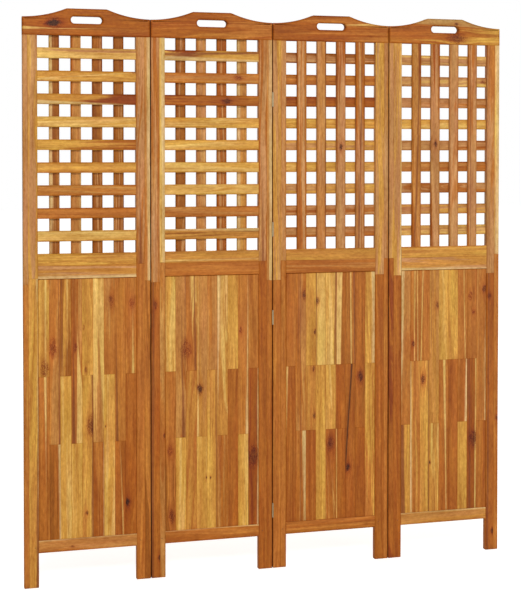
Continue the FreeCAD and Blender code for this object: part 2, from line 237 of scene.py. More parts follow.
# %% Looks of the slats
cross_looks = (
    (look("fawn", "straw", .65),
     look("honey", "straw", .3, -.3, lines=((.2, .9, 1.5, 1.5, 1),), knots=((1, 352, 6),)),
     look("amber", "red", .6, 1.1, sap=(-12, 0)), look("straw", "honey", .3),
     look("honey", "copper", .45, .9), look("honey", "amber", .5),
     look("orange", "tan", .5), look("orange", "copper", .45, .3),
     look("straw", "honey", .3, lines=((.75, .8, 2, 2, 1),))),
    (look("honey", "red", .4, -.2, sap=(-14, -6), lines=((.6, .85, 4, 4, 0),)),
     look("tan", "orange", .5, knots=((.6, 285, 6, .2),)),
     look("copper", "red", .45, -.1, knots=((.45, 248, 9, .6),)), look("straw", "honey", .6),
     look("honey", "straw", .05), look("straw", "honey", .5), look("straw", "honey", .4),
     look("orange", "tan", .5), look("amber", "brown", .45, -.2, sap=(5, 8))),
    (look("fawn", "brown", .45, .5), look("orange", "copper", .5), look("russet", "red", .4),
     look("honey", "straw", .15), look("honey", "fawn", .25), look("straw", "honey", .4),
     look("honey", "fawn", .4), look("fawn", "copper", .5), look("fawn", "copper", .35)),
    (look("fawn", "straw", .45), look("fawn", "straw", .3, .2, knots=((.5, 345, 5, .2),)),
     look("fawn", "orange", .4, .3), look("honey", "straw", .25), look("fawn", "russet", .2, .4),
     look("tan", "copper", .45, .3), look("fawn", "copper", .62), look("fawn", "honey", .4),
     look("straw", "fawn", .45)),
)
# The upright slats of the two left panels lie behind the cross slats; their brown and fawn tones are the
# wood darkened and greyed by painted shade.
upright_looks = (
    (look("brown", "fawn", .4, sap=(-9, -9)), look("tan", "copper", .2, .2, sap=(5, 3)),
     look("brown", "fawn", .35), look("brown", "fawn", .12)),
    (look("brown", "fawn", .2), look("tan", "fawn", .6), look("russet", "fawn", .25),
     look("tan", "amber", .4, sap=(-9, -9))),
    (look("copper", "fawn", .3),
     look("fawn", "tan", .5, -.2, lines=((.95, .95, 2, 2, 0),)),
     look("fawn", "russet", .35, .4, knots=((.5, 1374, 6, .8),)),
     look("fawn", "copper", .55, .1, lines=((.3, .75, 2.5, 2.5, 0),))),
    (look("tan", "russet", .5, .1, lines=((.3, .85, 2.5, 2.5, 0),)),
     look("fawn", "russet", .25, .4, knots=((.5, 1380, 6, .8),)),
     look("fawn", "copper", .2), look("fawn", "copper", .25, lines=((.3, .3, 1.5, 1.5, 0),))),
)
print("slats", sum(len(row) for row in cross_looks + upright_looks))

# %% [markdown]
# Stiles are glued from two strips side by side, and each strip from two lengths, because furniture makers
# use up short stock; the joints stagger near the middle rail. A stile's notes give where its strips meet,
# the height of each strip's joint, and the four lengths: lower and upper of the left strip, then of the
# right one.

# %% Looks of the stiles and rails
stile_looks = (
    ((15, 945, 963, look("orange", "amber", .25, .2), look("fawn", "tan", .15),
      look("honey", "amber", .4, lines=((.85, 1.05, 5, -4, 0),), sap=(0, 5)), look("fawn", "honey", .6)),
     (27, 1003, 949, look("orange", "copper", .35, .2),
      look("copper", "fawn", .7, .3, lines=((.5, .42, 4, -6, 0),)),
      look("orange", "brown", .3, -.3), look("tan", "orange", .4, sap=(8, 11)))),
    ((27, 943, 1005,
      look("copper", "russet", .4, .3, lines=((.1, .25, 4, 3, 0),),
           knots=((.5, 868, 5, .4), (.95, 62, 5, .7))),
      look("copper", "fawn", .35, .1), look("orange", "tan", .5, knots=((.8, 452, 4),)),
      look("straw", "honey", .35, sap=(9, 12))),
     (27, 1003, 940, look("copper", "russet", .4),
      look("copper", "fawn", .55, .3, lines=((.55, .5, 4, -6, 0),)),
      look("russet", "copper", .45, .2), look("tan", "orange", .45, sap=(10, 12)))),
    ((26, 940, 1003, look("orange", "copper", .5, .2), look("honey", "fawn", .6),
      look("orange", "copper", .45, .1), look("fawn", "tan", .5)),
     (30, 950, 1003, look("copper", "russet", .45, .1), look("honey", "fawn", .5),
      look("orange", "copper", .45), look("fawn", "tan", .5))),
    ((17, 1003, 945, look("copper", "red", .45), look("fawn", "honey", .5),
      look("russet", "copper", .45, .1), look("fawn", "honey", .6, sap=(5, 3))),
     (28, 945, 1010,
      look("copper", "russet", .35, .3, lines=((.2, .35, 4, 3, 0),),
           knots=((.4, 868, 5, .4), (.9, 62, 5, .7))),
      look("fawn", "orange", .4, .3), look("copper", "orange", .45, knots=((.8, 452, 4, .5),)),
      look("straw", "fawn", .3, sap=(10, 12)))),
)
crown_looks = (
    look("copper", "russet", .65, .1, lines=((.25, .27, 4, -3, 1),), knots=((.47, 96, 13, 1),)),
    look("russet", "orange", .3, .7),
    look("russet", "orange", .4, .6, lines=((.5, .75, -6, 5, 1),)),
    look("copper", "honey", .45, .8, sap=(2, 16), lines=((1, .75, 14, 10, .45),),
         knots=((.25, 242, 15, .35), (.82, 240, 4, .6))),
)
middle_looks = (
    (look("fawn", "amber", .5, sap=(-9, -9)), look("honey", "amber", .35)),
    (look("copper", "orange", .45), look("amber", "tan", .4, lines=((.2, .2, 2, 2, 1),))),
    (look("copper", "tan", .4), look("amber", "honey", .2)),
    (look("fawn", "amber", .5, sap=(-6, -6)), look("honey", "amber", .4)),
)
bottom_looks = (
    look("tan", "orange", .4, sap=(2, 2), knots=((.3, 150, 3),)), look("copper", "orange", .5, sap=(1, 1)),
    look("orange", "copper", .5), look("tan", "amber", .4, sap=(3, 3)),
)
print("stile lengths", sum(len(pair) * 4 for pair in stile_looks))

# %% [markdown]
# A board is a rounded rectangle carried along its length. Outer edges are eased by hand with fine paper,
# while two glued edges meet in a hairline. How far an edge is eased tells which of the two it is, so each
# edge gets a mark from its easing, and the material can later make it matt, darken it or leave it alone:
# eased edges and edges in the groove take painted shade, and glued hairlines show as dark joints.

# %% Kinds of edge
arc_steps = 3
eased, slat_eased, seam, groove = 1.5, 0.8, 0.18, 0.12
# An eased edge's mark makes it matt and darkens it with painted shade. An edge in the groove is a dark joint
# deepened by painted shade from the frame's edge, and a glued seam is a dark joint.
eased_edge_mark, seam_mark, groove_mark = 1.0, -1.0, -2.0
eased_edge_reach, seam_reach, groove_reach = 5.0, 0.6, 3.0


def edge_kind(easing):
    """The mark of an edge eased by so many mm, and how far the mark fades out over the flat beside it."""
    kinds = [np.asarray(easing) > seam, np.asarray(easing) > groove]
    mark = np.select(kinds, [eased_edge_mark, seam_mark], groove_mark)
    return mark, np.select(kinds, [eased_edge_reach, seam_reach], groove_reach)


print("edges are eased by", eased, "and", slat_eased, "mm, glued ones by", seam, "and", groove)

# %% [markdown]
# The outline is worked out for all four corners at once as arrays: a small arc at each, and one point on
# the flat beside it, where the worn look ends. Keeping the flats long and the arcs small is what makes an
# edge look crisp.

# %% One outline for every board
flat_share = 0.45


def outline(size_a, size_b, radii):
    """Anticlockwise section of a board. Each corner is an arc c + r (cos t, sin t) over a quarter turn,
    with one point on the flat before it and one after, less than half a side away. Gives the points and
    their marks."""
    radii = np.array(radii, float)
    marks, reach = edge_kind(radii)
    signs = np.array([(1, -1), (1, 1), (-1, 1), (-1, -1)])
    turns = np.radians([-90, 0, 90, 180])[:, None] + np.linspace(0, np.pi / 2, arc_steps + 1)
    centres = signs * (np.array([size_a, size_b]) / 2 - radii[:, None])
    arcs = centres[:, None] + radii[:, None, None] * np.stack([np.cos(turns), np.sin(turns)], -1)
    ahead = np.stack([-np.sin(turns), np.cos(turns)], -1)
    sides = np.array([size_a, size_b, size_a, size_b])[:, None]
    room = flat_share * (np.stack([sides, np.roll(sides, 1)]) - 2 * radii.max())
    before = arcs[:, 0] - np.minimum(reach[:, None], room[0]) * ahead[:, 0]
    after = arcs[:, -1] + np.minimum(reach[:, None], room[1]) * ahead[:, -1]
    points = np.concatenate([before[:, None], arcs, after[:, None]], 1).reshape(-1, 2)
    edge = np.zeros((4, arc_steps + 3))
    edge[:, 1:-1] = marks[:, None]
    return points, edge.reshape(-1)


def grid_faces(rows, columns, closed_rows):
    """Four-sided faces of a grid whose columns close on themselves, and its rows too if asked."""
    row = np.arange(rows if closed_rows else rows - 1)[:, None]
    column = np.arange(columns)[None]
    here, there = row * columns, (row + 1) % rows * columns
    beside = (column + 1) % columns
    return np.stack([here + column, here + beside, there + beside, there + column], -1).reshape(-1, 4)


def capped(rows, columns):
    """Faces of a grid whose columns close on themselves, with one face over its first row and one over its
    last."""
    first = np.arange(columns)
    last = first + (rows - 1) * columns
    return [*grid_faces(rows, columns, False).tolist(), first[::-1].tolist(), last.tolist()]


print("outline points", len(outline(30, 20, (eased,) * 4)[0]))

# %% [markdown]
# The wood itself starts from the tree. Rings are cylinders round the pith, so each board only needs to know
# how far it was sawn from it. Those offsets come from a seeded generator: every board differs, yet each run
# gives the same screen. Lines and knots are stored as places in the board, for the material to draw round.

# %% Lines and knots of a board
no_line, no_knot = (9, 9, -9, -9, 0), (400, 0, 1)
half_dark = 0.5


def noted(notes, spare):
    """The first two of a board's notes of one kind, with a spare one out of sight for each that is
    missing."""
    return (tuple(notes) + (spare, spare))[:2]


def line_values(notes, across, half, share_along):
    """For every point and line: the distance from the line's middle, which runs straight from end to end,
    the half width there, and the tone."""
    values = {}
    for name, line in zip(("line_one", "line_two"), noted(notes["lines"], no_line)):
        start, end, thin, thick, tone = line
        middle = (start + (end - start) * share_along - 0.5) * 2 * half
        line_half = thin + (thick - thin) * share_along
        values[name] = np.stack([(across - middle) / 1000, line_half / 1000, np.full_like(across, tone)], -1)
    return values


def knot_values(notes, half, bottom, top, pith, lean, shift, panel_x, shape):
    """For every knot its middle in the wood's own coordinates, with the radius in place of the depth, and
    the darkness of both."""
    values, darkness = {}, []
    for name, knot in zip(("knot_one", "knot_two"), noted(notes["knots"], no_knot)):
        place, height, radius, *dark = knot
        height += panel_x
        side = (place - 0.5) * 2 * half - pith[0] - lean[0] * (height - (bottom + top) / 2)
        values[name] = np.broadcast_to(np.array([side, radius, height - bottom + shift]) / 1000, shape)
        darkness += dark or [half_dark]
    values["knot_dark"] = np.broadcast_to(np.array(darkness + [0.0]), shape)
    return values


every_look = [note for panel in stave_looks for column in panel for note in column]
every_look += [note for row in cross_looks + upright_looks + middle_looks for note in row]
every_look += [note for pair in stile_looks for stile in pair for note in stile[3:]]
every_look += [*crown_looks, *bottom_looks]
for word in ("lines", "knots"):
    print(word, sum(len(note[word]) for note in every_look))

# %% [markdown]
# Everything else that a material needs is stored on the points too, in metres: where each point lies from
# the pith, how much of the second tone it has, how deep it is inside the sap edge, and its two tones.

# %% Wood carried by every point
pith_aside, pith_behind = (12, 45), (18, 60)
lean_aside, lean_behind = (-.012, .012), (-.03, .03)
golden_share, log_length = 0.618034, 40000
no_sap, skin = -1000, 0.01
board_number = 0


def wood_values(across, through, along, span, notes, panel_x, meeting=0):
    """Attributes of a board's points from their distances in mm: across from its middle, through from its
    middle and along in the row's frame. The pith lies off the middle by a seeded amount; sap depth is the
    distance inside the sap edge, whose width runs straight from the low end's to the high end's. A side
    that meets the next panel, -1 for the low and 1 for the high one, is marked to its corners."""
    global board_number
    board_number += 1
    chance = np.random.default_rng(board_number)
    pith = np.array([chance.uniform(*pith_aside) * chance.choice([-1, 1]), chance.uniform(*pith_behind)])
    lean = np.array([chance.uniform(*lean_aside), chance.uniform(*lean_behind)])
    shift = board_number * golden_share % 1 * log_length
    half, bottom, top = span
    share_along = (along - bottom) / (top - bottom)
    from_middle = along - (bottom + top) / 2
    from_pith = [values - pith[k] - lean[k] * from_middle for k, values in enumerate((across, through))]
    grain = np.stack([*from_pith, along - bottom + shift], -1) / 1000
    sap_start, sap_end = notes["sap"]
    width = sap_start + (sap_end - sap_start) * share_along
    side = 1 if sap_start + sap_end >= 0 else -1
    sap = np.where(any(notes["sap"]), side * across - half + abs(width), no_sap) / 1000
    share = notes["share"] + notes["drift"] * (share_along - 0.5)
    # Faces that meet the next panel are marked for near-black painted shade and a matt finish.
    met = np.where(meeting * across > half - skin, abs(meeting), 0)
    values = {"grain": grain, "figure": np.stack([share, sap, met], -1)}
    values |= line_values(notes, across, half, share_along)
    values |= knot_values(notes, half, bottom, top, pith, lean, shift, panel_x, grain.shape)
    for name in ("main", "second"):
        values[name] = np.broadcast_to(np.array(tones[notes[name]]), (len(across), 4))
    return values


print("boards that will be cut", len(every_look))

# %% [markdown]
# One function cuts a board to three pairs of faces and gives it its wood. An upright board runs along Z, so
# its section lies in X and Y; a level one runs along X, so its section lies in Y and Z.

# %% Cut one board
least_radius = 0.05


def board(across, depth, along, upright, edges, ends, notes, panel_x=0.0, meeting=0, edge_darkening=(1, 1)):
    """A board between pairs of faces in mm. Its section is carried along its length and drawn in by the
    end's easing at both ends: p(s, w) = centre + outline(s) shrunk near the ends + w along. edge_darkening
    scales the marks of its eased edges, which make them matt and give them painted shade, on the low side
    and on the high one."""
    width, deep = across[1] - across[0], depth[1] - depth[0]
    low_edge, high_edge = edges
    corners = (high_edge, high_edge, low_edge, low_edge)
    if not upright:
        corners = (low_edge, high_edge, high_edge, low_edge)
    sizes = (width, deep) if upright else (deep, width)
    full, edge = outline(*sizes, corners)
    rings, marks, stations = [], [], []
    for end, ease, inward in ((along[0], ends[0], 1), (along[1], ends[1], -1)):
        smaller = [max(radius - ease, least_radius) for radius in corners]
        shrunk, _ = outline(sizes[0] - 2 * ease, sizes[1] - 2 * ease, smaller)
        mark, reach = edge_kind(ease)
        eased_at, flat_at = end + inward * ease, end + inward * (ease + reach)
        rows = [(shrunk, end, mark), (full, eased_at, mark), (full, flat_at, 0)]
        for section, place, value in rows[::inward]:
            rings.append(section)
            stations.append(place)
            marks.append(np.where(abs(value) > np.abs(edge), value, edge))
    section, marks = np.stack(rings), np.stack(marks)
    distance = np.broadcast_to(np.array(stations)[:, None], marks.shape)
    from_middle = np.moveaxis(section, -1, 0)
    across_from, through_from = from_middle if upright else from_middle[::-1]
    side, front = across_from + sum(across) / 2, through_from + sum(depth) / 2
    points = np.stack([side, front, distance] if upright else [distance, front, side], -1)
    points = points.reshape(-1, 3) / 1000
    values = wood_values(across_from.ravel(), through_from.ravel(), distance.ravel(), (width / 2, *along),
                         notes, panel_x, meeting)
    values["edge"] = np.where(marks > 0, marks * np.where(across_from < 0, *edge_darkening), marks).ravel()
    return points, capped(len(rings), len(full)), values


print("points of a board", 6 * 4 * (arc_steps + 3))

# %% [markdown]
# The record names the finish of each node. The last word of a node's name tells what it is, and so which
# finish it takes.

# %% Slots of the record
slot_words = {
    "pins": "pin_steel",
    "screws": "screw_steel",
    "leaves": "hinge_steel",
    "dowels": "dowel_wood",
    "staves": "board_wood",
    "slats": "lattice_wood",
}
slot_of = {node: slot_words.get(node.split("_")[-1], "frame_wood") for node in frame["nodes"]}
print(sorted(set(slot_of.values())))

# %% [markdown]
# Boards that are glued into one part become one object, which rides on its panel and takes the place of the
# plain solid in the frame.

# %% Glue boards into one piece
attribute_kinds = {1: ("FLOAT", "value"), 3: ("FLOAT_VECTOR", "vector"), 4: ("FLOAT_COLOR", "color")}


def outward(points, faces):
    """Turns a closed surface round if its signed volume is below zero. That is the sum of a . (b x c) / 6,
    where a is the first corner of a face, and b and c are each two corners of it in turn."""
    corners, counts = np.concatenate(faces), np.array([len(face) for face in faces])
    first = np.cumsum(counts) - counts
    following = np.arange(1, len(corners) + 1)
    following[first + counts - 1] = first
    a, b, c = (points[k] for k in (corners[np.repeat(first, counts)], corners, corners[following]))
    inside_out = np.einsum("ij,ij->", a, np.cross(b, c)) < 0
    return [face[::-1] for face in faces] if inside_out else faces


def glue(node, boards, material):
    """Makes one object of several boards, in place of a node of the frame and on the same body."""
    body = next(body for body in frame["bodies"] if node.startswith(body))
    starts = np.cumsum([0] + [len(points) for points, _, _ in boards])
    faces = []
    for start, (points, own, _) in zip(starts, boards):
        faces += [[corner + int(start) for corner in face] for face in outward(points, own)]
    mesh = bpy.data.meshes.new(node + "_wood")
    mesh.from_pydata(np.concatenate([points for points, _, _ in boards]).tolist(), [], faces)
    for name in boards[0][2]:
        values = np.concatenate([attributes[name] for _, _, attributes in boards]).astype(np.float32)
        kind, key = attribute_kinds[values[0].size]
        mesh.attributes.new(name, kind, "POINT").data.foreach_set(key, values.ravel())
    mesh.materials.append(material)
    piece = bpy.data.objects.new(node + "_wood", mesh)
    bpy.context.scene.collection.objects.link(piece)
    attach(piece, body)
    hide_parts(node)
    return piece


# %% [markdown]
# A material is a small network of nodes. One helper adds a node, sets its options and fills its inputs, so
# the recipes below read from top to bottom. Each material gets the helper with its own tree already filled
# in. A map range takes a value, where it starts and ends, and what it becomes there; soft eases it in and
# out.

# %% A helper for material nodes
soft = {"interpolation_type": "SMOOTHSTEP"}
colours = {"data_type": "RGBA", "out": 2}


def add_node(tree, kind, inputs=(), out=0, **settings):
    """Adds one node to a tree, sets its options, fills or links its inputs, and gives back one output."""
    node = tree.nodes.new("ShaderNode" + kind)
    for key, value in settings.items():
        setattr(node, key, value)
    for key, value in inputs.items() if isinstance(inputs, dict) else enumerate(inputs):
        if isinstance(value, bpy.types.NodeSocket):
            tree.links.new(value, node.inputs[key])
        else:
            node.inputs[key].default_value = value
    return node.outputs[out] if len(node.outputs) else node


def empty(owner):
    """Clears the nodes of a material or world, and gives back the helper that adds to them."""
    owner.use_nodes = True
    owner.node_tree.nodes.clear()
    return functools.partial(add_node, owner.node_tree)


print("settings kept for all:", soft, colours)

# %% [markdown]
# Oiled acacia, first the grain. Its pattern follows the tree, so it is built from layers of noise stretched
# along the board: slow sway bends the rings by a few millimetres, and ripple by less. Interlocked grain
# gives acacia short flecks that catch the light, about 7 by 17 mm. Three patterns are finer on the real
# wood than a pixel of this picture, which is some 3 mm, and are drawn as coarse as they need to show: pores
# of 0.2 mm near 1 mm wide, fibres near 3 mm, and the curl round a knot, a millimetre across, near 4 mm.

# %% Layers of noise on the grain
# For each layer: its waves per metre across, through and along the board, detail, roughness and twist.
grain_layers = {
    "sway": ((9, 9, 1.6), 2, .5, 0),
    "ripple": ((45, 45, 9), 2, .5, 0),
    "curl": ((260, 260, 150), 2, .6, 1.5),
    "fibre": ((300, 300, 11), 4, .65, 0),
    "fleck": ((150, 150, 60), 3, .65, 0),
    "pore": ((480, 480, 18), 1, .5, 0),
}
sway_by, ripple_by = (.016, .016, 0), (.003, .003, 0)


def layered(add, place, layers):
    """Noise for every layer of a list, each at place x waves per metre."""
    noise = {}
    for name, (waves, detail, rough, twist) in layers.items():
        stretched = add("VectorMath", [place, waves], operation="MULTIPLY")
        noise[name] = add("TexNoise", {"Vector": stretched, "Scale": 1, "Detail": detail,
                                       "Roughness": rough, "Distortion": twist})
    return noise


def swaying(add):
    """The grain of a board, the noise on it, and the grain swayed by the noise's colour."""
    grain = add("Attribute", attribute_name="grain", out=1)
    noise = layered(add, grain, grain_layers)
    bent = grain
    for name, by in (("sway", sway_by), ("ripple", ripple_by)):
        bent = add("VectorMath", [noise[name].node.outputs["Color"], by, bent], operation="MULTIPLY_ADD")
    return grain, noise, bent


print(len(grain_layers), "layers on the grain")

# %% [markdown]
# Knots. A branch pushes the rings aside, and the wood round it turns brown over twice its width. Its end
# shows as a dark core, a little longer than wide and ragged, inside a rim of curly grain. All of this
# follows the distance from the knot's middle, so it is worked out once for each of a board's two knots.

# %% Knots
halo_shape, core_shape, point_shape = (1, 0, .4), (1, 0, .62), (.5, 0, .3)
ragged, ragged_middle = (.014, 0, .014), (-.007, 0, -.007)
push_by = (-.8, 0, 0)


def knotted(add, grain, noise, bent):
    """Pushes the bent grain aside by 0.8 exp(-d^2 / 4) of the offset, with d the distance in knot radii,
    and gives the core, the halo and the curly rim of both knots together."""
    ripple = noise["ripple"].node.outputs["Color"]
    curl = add("MapRange", [noise["curl"], .38, .6], **soft)
    knot_dark = add("Attribute", attribute_name="knot_dark", out=1)
    parts = {"core": [], "halo": [], "rim": []}
    for side, knot_name in enumerate(("knot_one", "knot_two")):
        knot = add("Attribute", attribute_name=knot_name, out=1)
        radius = add("SeparateXYZ", [knot], out=1)
        offset = add("VectorMath", [grain, knot], operation="SUBTRACT")
        far = add("VectorMath", [offset, halo_shape], operation="MULTIPLY")
        far = add("VectorMath", [far], operation="LENGTH", out=1)
        far = add("Math", [far, radius], operation="DIVIDE")
        far = add("Math", [far, far], operation="MULTIPLY")
        push = add("Math", [far, -.25], operation="MULTIPLY")
        push = add("Math", [push], operation="EXPONENT")
        aside = add("VectorMath", [offset, push_by], operation="MULTIPLY")
        aside = add("VectorMath", {0: aside, "Scale": push}, operation="SCALE")
        bent = add("VectorMath", [bent, aside], operation="ADD")
        near = add("VectorMath", [offset, core_shape], operation="MULTIPLY")
        near = add("VectorMath", [ripple, ragged, near], operation="MULTIPLY_ADD")
        near = add("VectorMath", [near, ragged_middle], operation="ADD")
        pointed = add("VectorMath", [near], operation="ABSOLUTE")
        pointed = add("VectorMath", [pointed, point_shape], operation="DOT_PRODUCT", out=1)
        near = add("VectorMath", [near], operation="LENGTH", out=1)
        near = add("Math", [near, .5, pointed], operation="MULTIPLY_ADD")
        near = add("Math", [near, radius], operation="DIVIDE")
        core = add("MapRange", [near, 1.2, .45], **soft)
        rim = add("MapRange", [near, 1.9, .8], **soft)
        dark = add("SeparateXYZ", [knot_dark], out=side)
        parts["core"].append(add("Math", [core, dark], operation="MULTIPLY"))
        parts["halo"].append(push)
        parts["rim"].append(add("Math", [curl, rim], operation="MULTIPLY"))
    knots = {name: add("Math", pair, operation="MAXIMUM") for name, pair in parts.items()}
    return bent, {"curl": curl, **knots}


print("a knot browns", 2 / halo_shape[0], "of its radii across and", 2 / halo_shape[2], "along")

# %% [markdown]
# Streaks. Acacia's dark and light wood lie in bands along the growth rings, so the noise is read at the
# distance from the pith instead of across the board. Broad bands of some 8 mm and narrow ones of 2 mm are
# mixed, and the second tone starts where the mix passes a limit that comes from the board's share.

# %% Streaks along the rings
# For each layer: its waves per metre out from the pith, across and along, detail, roughness and twist.
ring_layers = {
    "broad": ((120, 12, 1.5), 2, .5, 0),
    "narrow": ((420, 40, 4), 3, .6, 0),
    "cloud": ((50, 40, 6), 3, .5, 0),
    "band": ((130, 14, 1.5), 2, .6, 0),
}
streak_softness = .042


def ringed(add, bent):
    """Noise at (distance from the pith, place across, place along), and a warmth a little slower than the
    clouds."""
    flat = add("VectorMath", [bent, (1, 1, 0)], operation="MULTIPLY")
    ring = add("VectorMath", [flat], operation="LENGTH", out=1)
    parts = add("SeparateXYZ", [bent]).node.outputs
    place = add("CombineXYZ", [ring, parts[0], parts[2]])
    noise = layered(add, place, ring_layers)
    clouds = add("VectorMath", [place, ring_layers["cloud"][0]], operation="MULTIPLY")
    noise["warmth"] = add("TexNoise", {"Vector": clouds, "Scale": .7, "Detail": 3}, out=1)
    return noise


def streaked(add, noise, share):
    """The main tone, and the second one where the streaks are above 0.64 - 0.28 share."""
    streak = add("Mix", {0: .35, 2: noise["broad"], 3: noise["narrow"]}, data_type="FLOAT")
    limit = add("Math", [share, -.28, .64], operation="MULTIPLY_ADD")
    above = add("Math", [limit, streak_softness], operation="ADD")
    below = add("Math", [limit, -streak_softness], operation="ADD")
    streak = add("MapRange", [streak, below, above], **soft)
    main = add("Attribute", attribute_name="main")
    second = add("Attribute", attribute_name="second")
    return add("Mix", {0: streak, 6: main, 7: second}, **colours)


print(len(ring_layers), "layers along the rings")

# %% [markdown]
# Sapwood is the pale living wood under the bark. It runs along one edge of a board and wavers with the
# rings. Then come the single lines that catch the eye: pale or dark streaks that run alone, and one long
# open split.

# %% Sapwood and single lines
sap_tone, open_split = linear("#DAB376"), linear("#33180D")
pale_line, dark_line = linear("#E4B868"), linear("#88481F")
sap_starts, sap_full = .0045, .0115
line_fades, line_full = -.0022, .0026


def with_sap(add, noise, sap_depth, colour):
    """Sapwood where the depth inside its edge, wavered by the streaks, goes from 4.5 to 11.5 mm."""
    wave = add("Math", [noise["broad"], .012, sap_depth], operation="MULTIPLY_ADD")
    wave = add("Math", [noise["narrow"], .004, wave], operation="MULTIPLY_ADD")
    sap = add("MapRange", [wave, sap_starts, sap_full, 0, .85], **soft)
    return add("Mix", {0: sap, 6: colour, 7: sap_tone}, **colours)


def with_lines(add, noise, colour):
    """Both single lines, each where its half width is more than the wavered distance from its middle."""
    for name in ("line_one", "line_two"):
        line = add("Attribute", attribute_name=name, out=1)
        from_line, line_half, line_tone = add("SeparateXYZ", [line]).node.outputs
        from_line = add("Math", [noise["broad"], .01, from_line], operation="MULTIPLY_ADD")
        from_line = add("Math", [from_line, -.005], operation="ADD")
        from_line = add("Math", [from_line], operation="ABSOLUTE")
        inside = add("Math", [line_half, from_line], operation="SUBTRACT")
        mask = add("MapRange", [inside, line_fades, line_full, 0, .85], **soft)
        tone = add("Mix", {0: line_tone, 6: dark_line, 7: pale_line}, **colours)
        split = add("Math", [line_tone, -1], operation="MULTIPLY", use_clamp=True)
        tone = add("Mix", {0: split, 6: tone, 7: open_split}, **colours)
        colour = add("Mix", {0: mask, 6: colour, 7: tone}, **colours)
    return colour


print("sapwood goes from none to full over", round((sap_full - sap_starts) * 1000, 1), "mm")

# %% [markdown]
# Late wood, the dense end of each year's ring, leaves thin dark lines. Knots brown the wood round them and
# redden their curly rim, and their core is nearly black. These tints multiply the colour, as a stain does,
# so the figure under them stays visible.

# %% Tints of late wood and knots
late_tint, halo_tint, rim_tint = (.62, .48, .38, 1), (.82, .54, .34, 1), (.5, .23, .2, 1)
knot_brown, knot_black = linear("#55290F"), linear("#1E0E08")


def tinted(add, noise, knots, colour):
    """Late wood where the narrow streaks are within 0.035 of their middle, then the halo, rim and core of
    knots."""
    late = add("Math", [noise["narrow"], -.5], operation="ADD")
    late = add("Math", [late], operation="ABSOLUTE")
    late = add("MapRange", [late, .035, 0, 0, .3], **soft)
    halo = add("Math", [knots["halo"], .55], operation="MULTIPLY")
    for amount, tint in ((late, late_tint), (halo, halo_tint), (knots["rim"], rim_tint)):
        colour = add("Mix", {0: amount, 6: colour, 7: tint}, blend_type="MULTIPLY", **colours)
    core = add("Mix", {0: knots["curl"], 6: knot_brown, 7: knot_black}, **colours)
    return add("Mix", {0: knots["core"], 6: colour, 7: core}, **colours)


print("late wood, halo and rim keep", late_tint[0], halo_tint[0], rim_tint[0], "of the red")

# %% [markdown]
# Light and dark. Clouds, bands, fibres and flecks each lighten or darken the wood by up to a fifth, pores
# and glued joints darken it, and painted shade darkens eased edges, edges in the groove and faces that meet
# the next panel. In wood a darker place is also redder, so the shade weighs on green and blue more than on
# red, and never falls below a deep brown.

# %% Light and dark in the wood
# For each layer: the noise that counts as lowest and as highest, and the shade there.
shade_layers = {
    "cloud": (.25, .75, .8, 1.19),
    "band": (.3, .7, .83, 1.15),
    "fibre": (.25, .75, .85, 1.12),
    "fleck": (.25, .75, .8, 1.2),
}
warm_by, warm_from = (.2, .3, .5), (.88, .868, .82)
# The marks of glued edges and of edges in the groove are negative, those of eased edges positive. Each is
# scaled to 0 to 1, then darkens: a glued hairline as a dark joint, an edge in the groove as a dark joint
# deepened by painted shade, and an eased edge with painted shade.
mark_shades = ((-.5, -.7), (1, -.25))
shade_weights, deepest_shade = (.88, 1.25, 1.75), (.2, .12, .06)
# Near-black painted shade on faces that meet the next panel, inside the 3 mm gap.
meeting_face_shade = (.38, .19, .1, 1)


def shaded(add, noise, pore, edge, met, colour):
    """Colour x warmth x (1 + weights (s - 1)), where s is the product of all the shades, and near-black
    painted shade on faces that meet the next panel."""
    parts = [add("MapRange", [noise[name], low, high, dim, bright])
             for name, (low, high, dim, bright) in shade_layers.items()]
    parts.append(add("Math", [pore, -.3, 1], operation="MULTIPLY_ADD"))
    for mark, dim in mark_shades:
        marked = add("Math", [edge, mark], operation="MULTIPLY", use_clamp=True)
        parts.append(add("Math", [marked, dim, 1], operation="MULTIPLY_ADD"))
    shade = functools.reduce(lambda first, then: add("Math", [first, then], operation="MULTIPLY"), parts)
    warmth = add("VectorMath", [noise["warmth"], warm_by, warm_from], operation="MULTIPLY_ADD")
    colour = add("VectorMath", [colour, warmth], operation="MULTIPLY")
    shade = add("Math", [shade, -1], operation="ADD")
    shade = add("VectorMath", [shade, shade_weights, (1, 1, 1)], operation="MULTIPLY_ADD")
    shade = add("VectorMath", [shade, deepest_shade], operation="MAXIMUM")
    colour = add("VectorMath", [colour, shade], operation="MULTIPLY")
    return add("Mix", {0: met, 6: colour, 7: meeting_face_shade}, blend_type="MULTIPLY", **colours)


print(len(shade_layers), "layers of shade")

# %% [markdown]
# The oil soaks in and leaves a soft satin. It is duller over open pores and dark clouds, and quite matt
# where sand paper eased an edge or a joint holds dust, so edges never sparkle. The relief is shallow:
# fibres and narrow streaks stand up by a fraction of a millimetre, and pores are sunk.

# %% Oiled acacia
wood_ior, wood_specular = 1.5, .2
relief = {"Strength": .35, "Distance": .0002}


